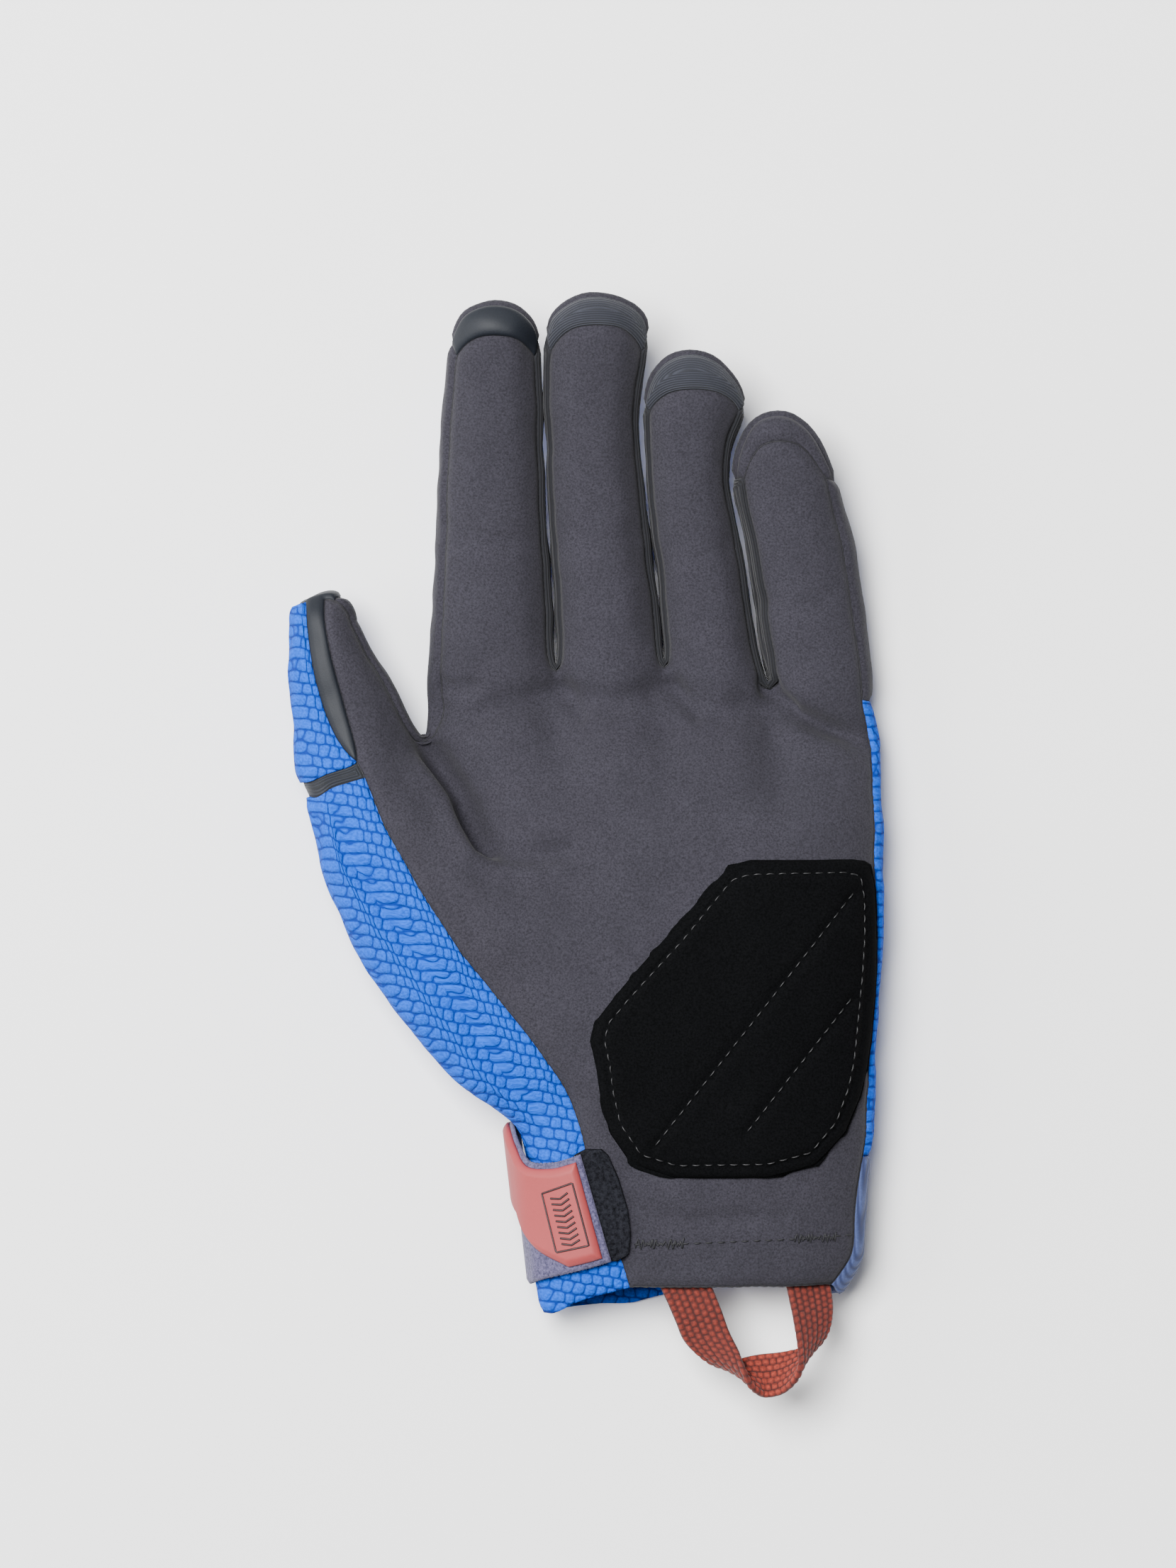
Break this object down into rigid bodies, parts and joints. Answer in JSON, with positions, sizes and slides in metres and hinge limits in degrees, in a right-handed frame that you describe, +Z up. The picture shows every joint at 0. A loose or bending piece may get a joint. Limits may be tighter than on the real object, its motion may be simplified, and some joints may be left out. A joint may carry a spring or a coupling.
{
  "type": "sports glove",
  "caption": "Left full-finger sports glove lying palm up: suede palm, padded heel patch, knit back, stretch side strips, wrist strap and pull loop.",
  "frame": {"origin": "middle of the part's bounding box, at the surface that the glove lies on", "axes": "+Y from the cuff towards the fingertips, +Z up out of the palm, +X towards the little finger"},
  "size_m": [0.1262, 0.2332, 0.0327],
  "materials": {
    "palm_panel": "grey synthetic suede, short nap",
    "back_panel": "blue cellular knit",
    "thumb_side_panel": "blue cellular knit",
    "thumb_back": "blue cellular knit",
    "thumb_flex_strip": "dark ribbed stretch knit",
    "thumb_touch_patch": "dark smooth touch cloth",
    "thumb_index_gusset": "grey synthetic suede, short nap",
    "gusset_index_middle": "slate ribbed stretch knit",
    "gusset_middle_ring": "slate ribbed stretch knit",
    "gusset_ring_little": "slate ribbed stretch knit",
    "index_tip_strip": "dark smooth touch cloth",
    "index_tip_back": "grey synthetic suede, short nap",
    "middle_tip_strip": "slate ribbed stretch knit",
    "middle_tip_back": "grey synthetic suede, short nap",
    "ring_tip_strip": "slate ribbed stretch knit",
    "ring_tip_back": "grey synthetic suede, short nap",
    "little_tip_strip": "grey synthetic suede, short nap",
    "little_tip_back": "grey synthetic suede, short nap",
    "little_outer_side": "grey synthetic suede, short nap",
    "cuff_side_elastic": "navy elastic webbing",
    "heel_patch": "black coated leather, fine grain",
    "strap_hook_pad": "black hook tape, stitched edge",
    "strap_base": "lavender loop cloth",
    "strap_grip": "matt terracotta rubber with moulded ridges",
    "pull_loop": "chunky woven rust webbing"
  },
  "bodies": {
    "root": {"palm_panel": "palm_panel", "back_panel": "back_panel", "thumb_side_panel": "thumb_side_panel", "thumb_back": "thumb_back", "thumb_flex_strip": "thumb_flex_strip", "thumb_touch_patch": "thumb_touch_patch", "thumb_index_gusset": "thumb_index_gusset", "gusset_index_middle": "gusset_index_middle", "gusset_middle_ring": "gusset_middle_ring", "gusset_ring_little": "gusset_ring_little", "index_tip_strip": "index_tip_strip", "index_tip_back": "index_tip_back", "middle_tip_strip": "middle_tip_strip", "middle_tip_back": "middle_tip_back", "ring_tip_strip": "ring_tip_strip", "ring_tip_back": "ring_tip_back", "little_tip_strip": "little_tip_strip", "little_tip_back": "little_tip_back", "little_outer_side": "little_outer_side", "cuff_side_elastic": "cuff_side_elastic", "heel_patch": "heel_patch", "strap_hook_pad": "strap_hook_pad", "strap_base": "strap_base", "strap_grip": "strap_grip", "pull_loop": "pull_loop"}
  },
  "joints": []
}
